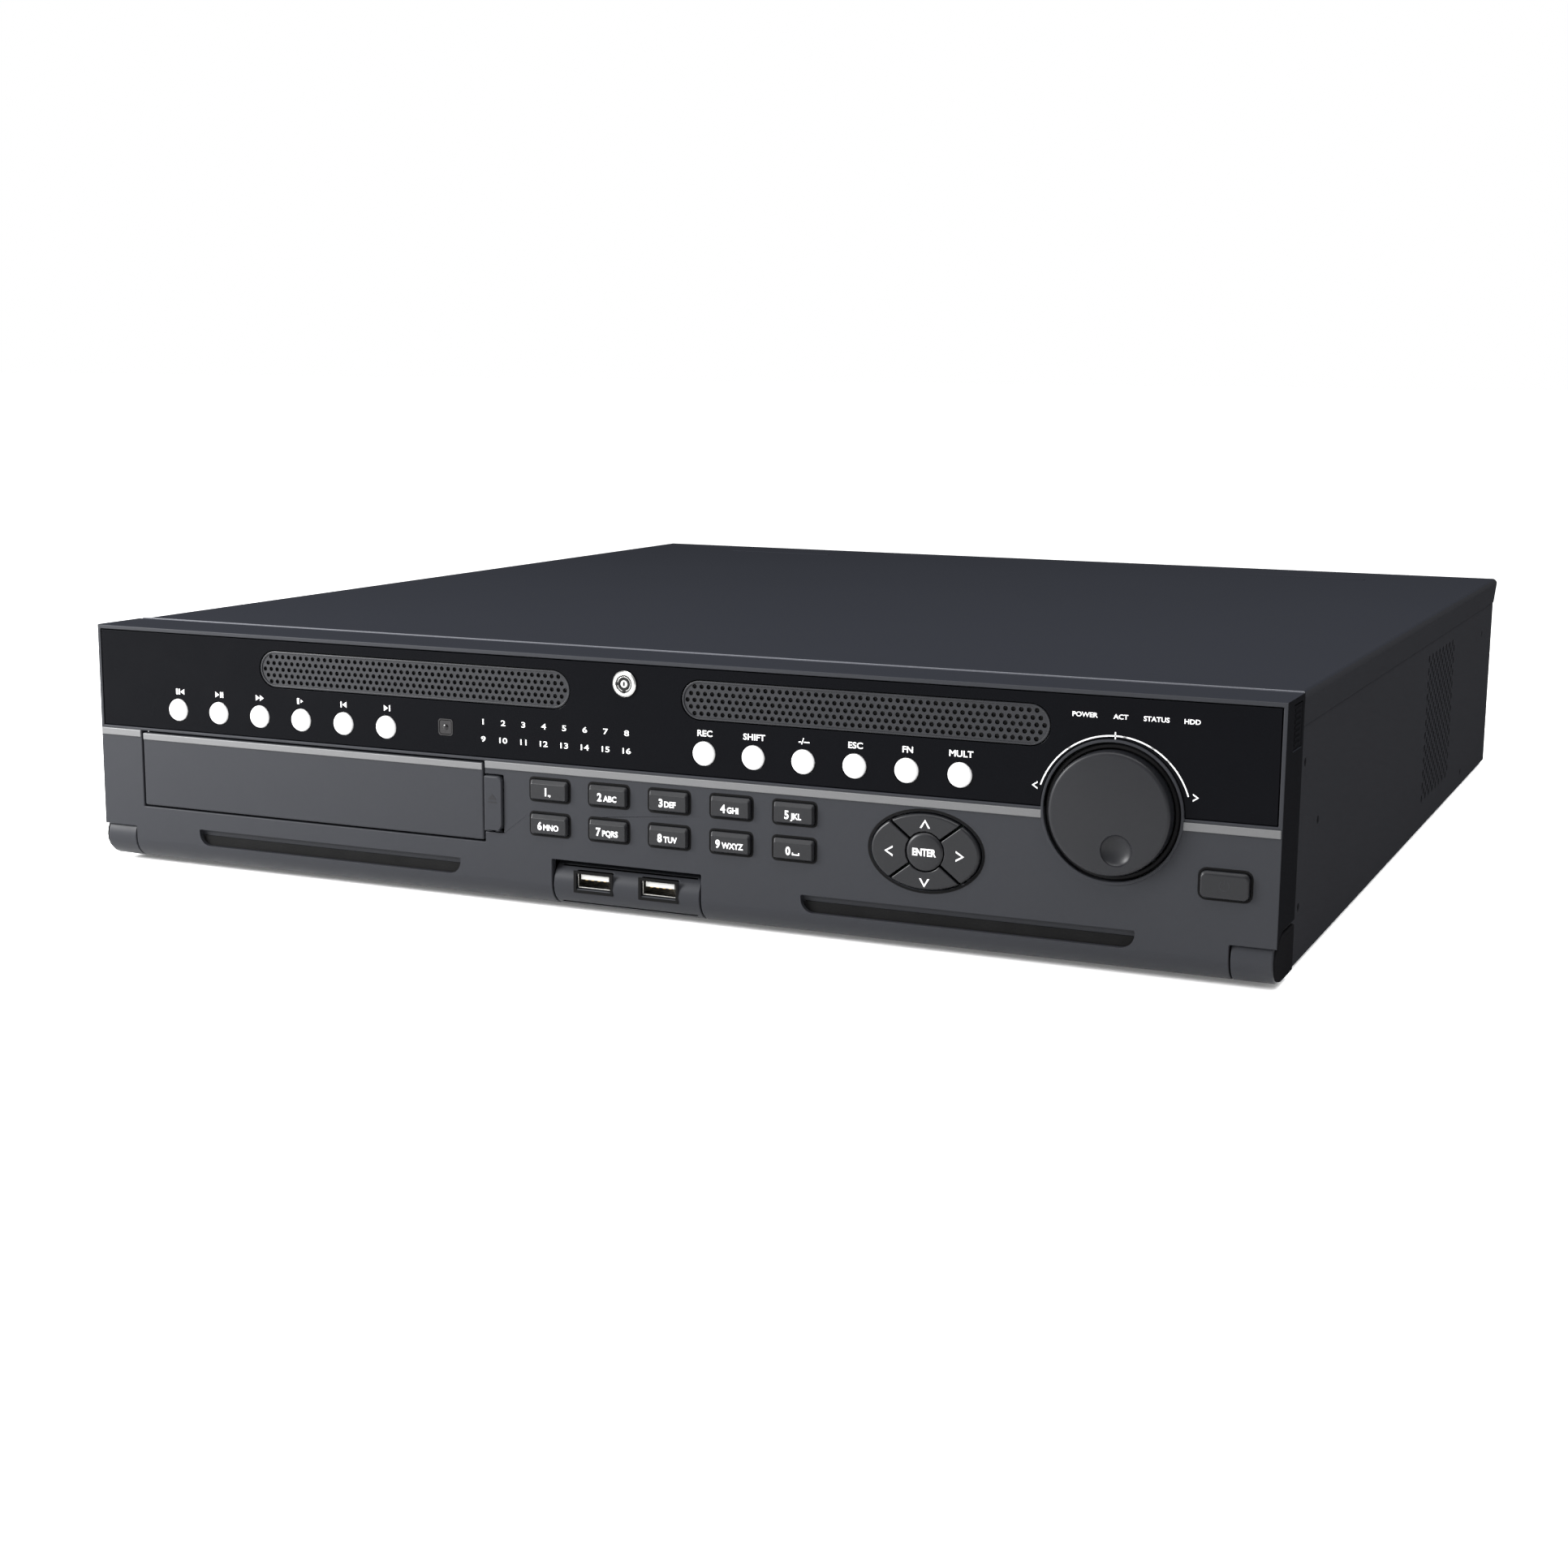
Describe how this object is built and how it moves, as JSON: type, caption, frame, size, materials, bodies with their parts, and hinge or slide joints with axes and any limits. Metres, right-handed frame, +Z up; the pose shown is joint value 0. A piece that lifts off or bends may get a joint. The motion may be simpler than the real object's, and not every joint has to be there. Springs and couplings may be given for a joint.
{
  "type": "digital video recorder",
  "caption": "Flat rack-width recorder with a fold-down keyed front door carrying keys, jog dial and disc flap, two memory-stick sockets, side latches and video jacks at the rear.",
  "frame": {"origin": "centre of the bounding box in X and Y, on the surface the feet stand on", "axes": "+X to the right seen from the front, +Y to the rear panel, +Z up; the door faces -Y"},
  "size_m": [0.44, 0.484, 0.089],
  "materials": {
    "case_sheet": "dark blue-grey powder coat, fine texture, satin",
    "door_plastic": "dark grey moulded plastic, fine spark texture",
    "fascia_gloss": "polished black acrylic",
    "grille": "grey satin paint on perforated sheet",
    "key_plastic": "charcoal moulded keycaps, satin",
    "button_white": "white translucent plastic",
    "ring_rubber": "black soft-touch rim",
    "lock_chrome": "nickel-chrome plate",
    "circuit_board": "green solder resist on glass epoxy",
    "steel_can": "zinc-plated steel",
    "fan_plastic": "black glass-filled plastic",
    "foot_rubber": "black moulded rubber"
  },
  "bodies": {
    "chassis": {"base_tray": "case_sheet", "top_cover": "case_sheet", "rear_panel": "case_sheet", "front_bulkhead": "case_sheet", "main_board": "circuit_board", "power_supply": "steel_can", "fan_frame": "fan_plastic", "hard_drive": "steel_can", "optical_drive": "steel_can", "hinge_knuckle_left": "door_plastic", "hinge_knuckle_right": "door_plastic", "usb_module": "door_plastic", "usb_board": "steel_can", "foot_front_left": "foot_rubber", "foot_front_right": "foot_rubber", "foot_rear_left": "foot_rubber", "foot_rear_right": "foot_rubber"},
    "front_door": {"door_shell": "door_plastic", "fascia_panel": "fascia_gloss", "vent_grille_left": "grille", "vent_grille_right": "grille", "keypad_board": "circuit_board", "lock_barrel": "lock_chrome"},
    "disc_drawer": {"disc_tray": "key_plastic", "disc_flap": "door_plastic"},
    "fan_wheel": {"fan_rotor": "fan_plastic"},
    "jog_wheel": {"jog_dial": "door_plastic"},
    "shuttle_wheel": {"shuttle_ring": "ring_rubber"},
    "lock_core": {"lock_plug": "lock_chrome"},
    "latch_left": {"door_latch_left": "key_plastic"},
    "latch_right": {"door_latch_right": "key_plastic"},
    "arrow_down_cap": {"arrow_down": "key_plastic"},
    "arrow_left_cap": {"arrow_left": "key_plastic"},
    "arrow_right_cap": {"arrow_right": "key_plastic"},
    "arrow_up_cap": {"arrow_up": "key_plastic"},
    "button_dash_cap": {"button_dash": "button_white"},
    "button_escape_cap": {"button_escape": "button_white"},
    "button_fast_cap": {"button_fast": "button_white"},
    "button_function_cap": {"button_function": "button_white"},
    "button_multiple_cap": {"button_multiple": "button_white"},
    "button_next_cap": {"button_next": "button_white"},
    "button_play_cap": {"button_play": "button_white"},
    "button_previous_cap": {"button_previous": "button_white"},
    "button_record_cap": {"button_record": "button_white"},
    "button_reverse_cap": {"button_reverse": "button_white"},
    "button_shift_cap": {"button_shift": "button_white"},
    "button_slow_cap": {"button_slow": "button_white"},
    "eject_button_cap": {"eject_button": "key_plastic"},
    "enter_key_cap": {"enter_key": "key_plastic"},
    "key_0_cap": {"key_0": "key_plastic"},
    "key_1_cap": {"key_1": "key_plastic"},
    "key_2_cap": {"key_2": "key_plastic"},
    "key_3_cap": {"key_3": "key_plastic"},
    "key_4_cap": {"key_4": "key_plastic"},
    "key_5_cap": {"key_5": "key_plastic"},
    "key_6_cap": {"key_6": "key_plastic"},
    "key_7_cap": {"key_7": "key_plastic"},
    "key_8_cap": {"key_8": "key_plastic"},
    "key_9_cap": {"key_9": "key_plastic"},
    "power_button_cap": {"power_button": "key_plastic"}
  },
  "joints": [
    {"name": "door_hinge", "type": "hinge", "parent": "chassis", "child": "front_door", "pos_m": [0, -0.23, 0.01], "axis": [1, 0, 0], "range_deg": [0, 82]},
    {"name": "disc_drawer_slide", "type": "slide", "parent": "chassis", "child": "disc_drawer", "axis": [0, -1, 0], "range_m": [0, 0.15]},
    {"name": "fan_spin", "type": "hinge", "parent": "chassis", "child": "fan_wheel", "pos_m": [0.093, 0.217, 0.046], "axis": [0, 1, 0], "continuous": true},
    {"name": "jog_turn", "type": "hinge", "parent": "front_door", "child": "jog_wheel", "pos_m": [0.1677, -0.238, 0.0518], "axis": [0, 1, 0], "continuous": true},
    {"name": "shuttle_turn", "type": "hinge", "parent": "front_door", "child": "shuttle_wheel", "pos_m": [0.1677, -0.238, 0.0518], "axis": [0, 1, 0], "range_deg": [-60, 60], "stiffness_Nm_per_rad": 0.02},
    {"name": "lock_turn", "type": "hinge", "parent": "front_door", "child": "lock_core", "pos_m": [0, -0.238, 0.0807], "axis": [0, 1, 0], "range_deg": [0, 90]},
    {"name": "latch_left_press", "type": "slide", "parent": "front_door", "child": "latch_left", "axis": [1, 0, 0], "range_m": [0, 0.0025], "stiffness_N_per_m": 900},
    {"name": "latch_right_press", "type": "slide", "parent": "front_door", "child": "latch_right", "axis": [-1, 0, 0], "range_m": [0, 0.0025], "stiffness_N_per_m": 900},
    {"name": "arrow_down_press", "type": "slide", "parent": "front_door", "child": "arrow_down_cap", "axis": [0, 1, 0], "range_m": [0, 0.001], "stiffness_N_per_m": 1500},
    {"name": "arrow_left_press", "type": "slide", "parent": "front_door", "child": "arrow_left_cap", "axis": [0, 1, 0], "range_m": [0, 0.001], "stiffness_N_per_m": 1500},
    {"name": "arrow_right_press", "type": "slide", "parent": "front_door", "child": "arrow_right_cap", "axis": [0, 1, 0], "range_m": [0, 0.001], "stiffness_N_per_m": 1500},
    {"name": "arrow_up_press", "type": "slide", "parent": "front_door", "child": "arrow_up_cap", "axis": [0, 1, 0], "range_m": [0, 0.001], "stiffness_N_per_m": 1500},
    {"name": "button_dash_press", "type": "slide", "parent": "front_door", "child": "button_dash_cap", "axis": [0, 1, 0], "range_m": [0, 0.001], "stiffness_N_per_m": 1500},
    {"name": "button_escape_press", "type": "slide", "parent": "front_door", "child": "button_escape_cap", "axis": [0, 1, 0], "range_m": [0, 0.001], "stiffness_N_per_m": 1500},
    {"name": "button_fast_press", "type": "slide", "parent": "front_door", "child": "button_fast_cap", "axis": [0, 1, 0], "range_m": [0, 0.001], "stiffness_N_per_m": 1500},
    {"name": "button_function_press", "type": "slide", "parent": "front_door", "child": "button_function_cap", "axis": [0, 1, 0], "range_m": [0, 0.001], "stiffness_N_per_m": 1500},
    {"name": "button_multiple_press", "type": "slide", "parent": "front_door", "child": "button_multiple_cap", "axis": [0, 1, 0], "range_m": [0, 0.001], "stiffness_N_per_m": 1500},
    {"name": "button_next_press", "type": "slide", "parent": "front_door", "child": "button_next_cap", "axis": [0, 1, 0], "range_m": [0, 0.001], "stiffness_N_per_m": 1500},
    {"name": "button_play_press", "type": "slide", "parent": "front_door", "child": "button_play_cap", "axis": [0, 1, 0], "range_m": [0, 0.001], "stiffness_N_per_m": 1500},
    {"name": "button_previous_press", "type": "slide", "parent": "front_door", "child": "button_previous_cap", "axis": [0, 1, 0], "range_m": [0, 0.001], "stiffness_N_per_m": 1500},
    {"name": "button_record_press", "type": "slide", "parent": "front_door", "child": "button_record_cap", "axis": [0, 1, 0], "range_m": [0, 0.001], "stiffness_N_per_m": 1500},
    {"name": "button_reverse_press", "type": "slide", "parent": "front_door", "child": "button_reverse_cap", "axis": [0, 1, 0], "range_m": [0, 0.001], "stiffness_N_per_m": 1500},
    {"name": "button_shift_press", "type": "slide", "parent": "front_door", "child": "button_shift_cap", "axis": [0, 1, 0], "range_m": [0, 0.001], "stiffness_N_per_m": 1500},
    {"name": "button_slow_press", "type": "slide", "parent": "front_door", "child": "button_slow_cap", "axis": [0, 1, 0], "range_m": [0, 0.001], "stiffness_N_per_m": 1500},
    {"name": "eject_button_press", "type": "slide", "parent": "front_door", "child": "eject_button_cap", "axis": [0, 1, 0], "range_m": [0, 0.001], "stiffness_N_per_m": 1500},
    {"name": "enter_key_press", "type": "slide", "parent": "front_door", "child": "enter_key_cap", "axis": [0, 1, 0], "range_m": [0, 0.001], "stiffness_N_per_m": 1500},
    {"name": "key_0_press", "type": "slide", "parent": "front_door", "child": "key_0_cap", "axis": [0, 1, 0], "range_m": [0, 0.001], "stiffness_N_per_m": 1500},
    {"name": "key_1_press", "type": "slide", "parent": "front_door", "child": "key_1_cap", "axis": [0, 1, 0], "range_m": [0, 0.001], "stiffness_N_per_m": 1500},
    {"name": "key_2_press", "type": "slide", "parent": "front_door", "child": "key_2_cap", "axis": [0, 1, 0], "range_m": [0, 0.001], "stiffness_N_per_m": 1500},
    {"name": "key_3_press", "type": "slide", "parent": "front_door", "child": "key_3_cap", "axis": [0, 1, 0], "range_m": [0, 0.001], "stiffness_N_per_m": 1500},
    {"name": "key_4_press", "type": "slide", "parent": "front_door", "child": "key_4_cap", "axis": [0, 1, 0], "range_m": [0, 0.001], "stiffness_N_per_m": 1500},
    {"name": "key_5_press", "type": "slide", "parent": "front_door", "child": "key_5_cap", "axis": [0, 1, 0], "range_m": [0, 0.001], "stiffness_N_per_m": 1500},
    {"name": "key_6_press", "type": "slide", "parent": "front_door", "child": "key_6_cap", "axis": [0, 1, 0], "range_m": [0, 0.001], "stiffness_N_per_m": 1500},
    {"name": "key_7_press", "type": "slide", "parent": "front_door", "child": "key_7_cap", "axis": [0, 1, 0], "range_m": [0, 0.001], "stiffness_N_per_m": 1500},
    {"name": "key_8_press", "type": "slide", "parent": "front_door", "child": "key_8_cap", "axis": [0, 1, 0], "range_m": [0, 0.001], "stiffness_N_per_m": 1500},
    {"name": "key_9_press", "type": "slide", "parent": "front_door", "child": "key_9_cap", "axis": [0, 1, 0], "range_m": [0, 0.001], "stiffness_N_per_m": 1500},
    {"name": "power_button_press", "type": "slide", "parent": "front_door", "child": "power_button_cap", "axis": [0, 1, 0], "range_m": [0, 0.001], "stiffness_N_per_m": 1500}
  ]
}
